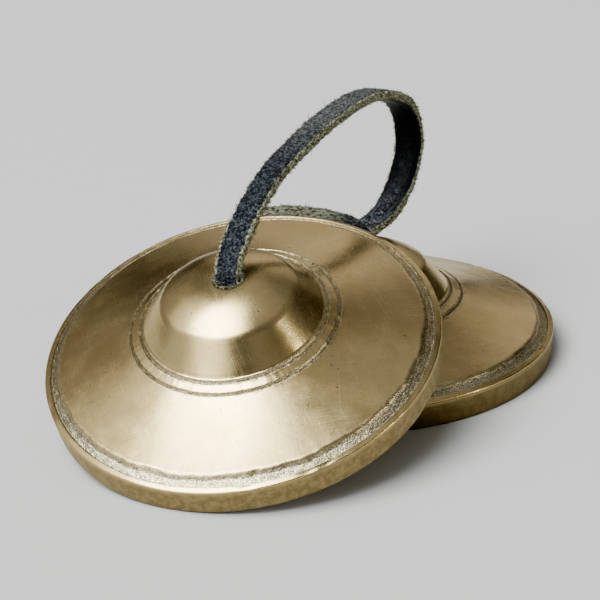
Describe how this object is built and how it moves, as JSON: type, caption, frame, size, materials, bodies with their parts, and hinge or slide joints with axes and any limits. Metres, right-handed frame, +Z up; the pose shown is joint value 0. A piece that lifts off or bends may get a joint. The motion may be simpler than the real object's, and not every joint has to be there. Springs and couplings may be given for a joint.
{
  "type": "finger cymbals",
  "caption": "Pair of small cast bronze bell cymbals with raised bosses, joined by a knotted leather lace; one lies flat and the other leans on it.",
  "frame": {"origin": "on the surface that the pair stands on, midway between the outermost points of the cymbals", "axes": "+Z up, +X to the right as seen from the side where the leaning cymbal is in front, +Y away from that side, towards the cymbal that lies flat"},
  "size_m": [0.086, 0.0922, 0.0451],
  "materials": {
    "bronze": "satin-polished cast bronze with fine scratches and a brown patina",
    "leather": "dark blue-black leather, smooth grain side and rough suede side"
  },
  "bodies": {
    "rear_cymbal": {"rear_cymbal": "bronze"},
    "rear_knot": {"rear_knot": "leather"},
    "rear_lace": {"rear_lace": "leather"},
    "front_lace": {"front_lace": "leather"},
    "front_knot": {"front_knot": "leather"},
    "front_cymbal": {"front_cymbal": "bronze"}
  },
  "joints": [
    {"name": "rear_swivel", "type": "hinge", "parent": "rear_cymbal", "child": "rear_knot", "pos_m": [0.01049, 0.0136, 0.02], "axis": [0, 0, 1], "continuous": true},
    {"name": "rear_tilt", "type": "hinge", "parent": "rear_knot", "child": "rear_lace", "pos_m": [0.01139, 0.0136, 0.0192], "axis": [0, 1, 0], "range_deg": [0, 25]},
    {"name": "lace_fold", "type": "hinge", "parent": "rear_lace", "child": "front_lace", "pos_m": [0.01165, 0.02032, 0.04489], "axis": [-0.8571, 0.5151, -0.009], "range_deg": [0, 75]},
    {"name": "front_tilt", "type": "hinge", "parent": "front_lace", "child": "front_knot", "pos_m": [-0.01204, -0.01875, 0.02915], "axis": [0.8829, -0.4695, 0], "range_deg": [0, 25]},
    {"name": "front_swivel", "type": "hinge", "parent": "front_knot", "child": "front_cymbal", "pos_m": [-0.01258, -0.01977, 0.02973], "axis": [-0.1511, -0.3004, 0.9418], "continuous": true}
  ]
}
